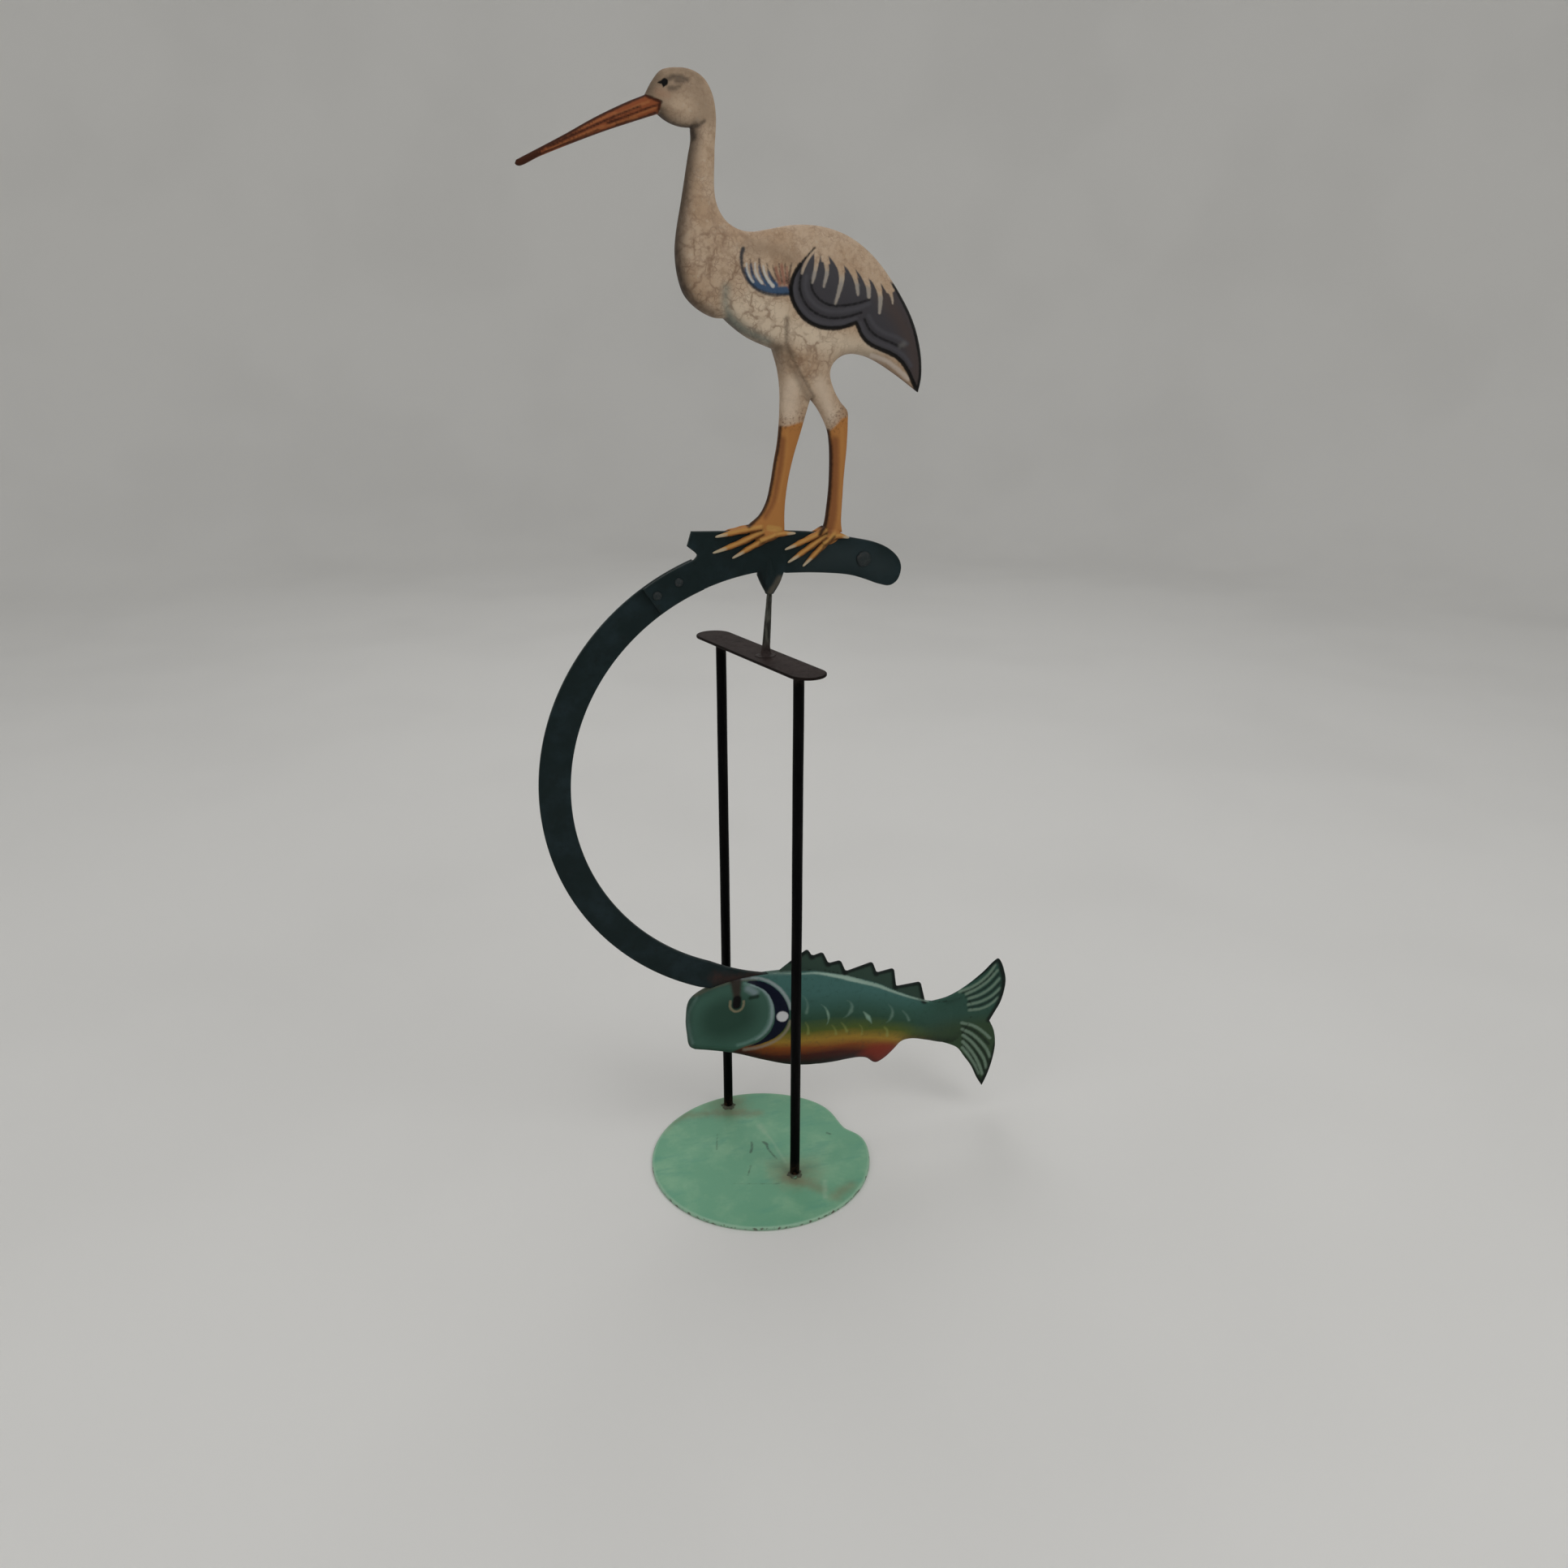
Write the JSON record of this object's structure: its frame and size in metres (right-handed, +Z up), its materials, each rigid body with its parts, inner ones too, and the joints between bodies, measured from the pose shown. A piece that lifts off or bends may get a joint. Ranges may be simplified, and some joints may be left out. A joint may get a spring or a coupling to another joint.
{
  "type": "metal balance sculpture",
  "caption": "Painted metal balance sculpture: a wading bird on a perch, a curved arm and a fish counterweight, resting on a spike above a two-rod stand.",
  "frame": {"origin": "centre of the pad's underside, on the table", "axes": "+Z up, -X the way the bird faces, +Y away from the painted side shown in the picture"},
  "size_m": [0.298, 0.1433, 0.6252],
  "materials": {
    "pad_paint": "worn satin mint green paint with rust at the rods' feet",
    "rod_paint": "satin black",
    "plate_iron": "dark brown-grey, satin",
    "spike_steel": "dull grey, darkened",
    "dark_green": "dark slate green, satin",
    "bird_paint": "crackled cream with painted feathers, orange legs and a rust brown bill",
    "fish_paint": "green blending to yellow, orange and red, painted gill and scales"
  },
  "bodies": {
    "root": {"pad": "pad_paint", "rod_back": "rod_paint", "rod_front": "rod_paint", "rest_plate": "plate_iron", "pivot_spike": "spike_steel", "perch": "dark_green", "perch_rivet": "dark_green", "lap_rivet_upper": "dark_green", "lap_rivet_lower": "dark_green", "arm": "dark_green", "bird": "bird_paint", "fish": "fish_paint"}
  },
  "joints": []
}
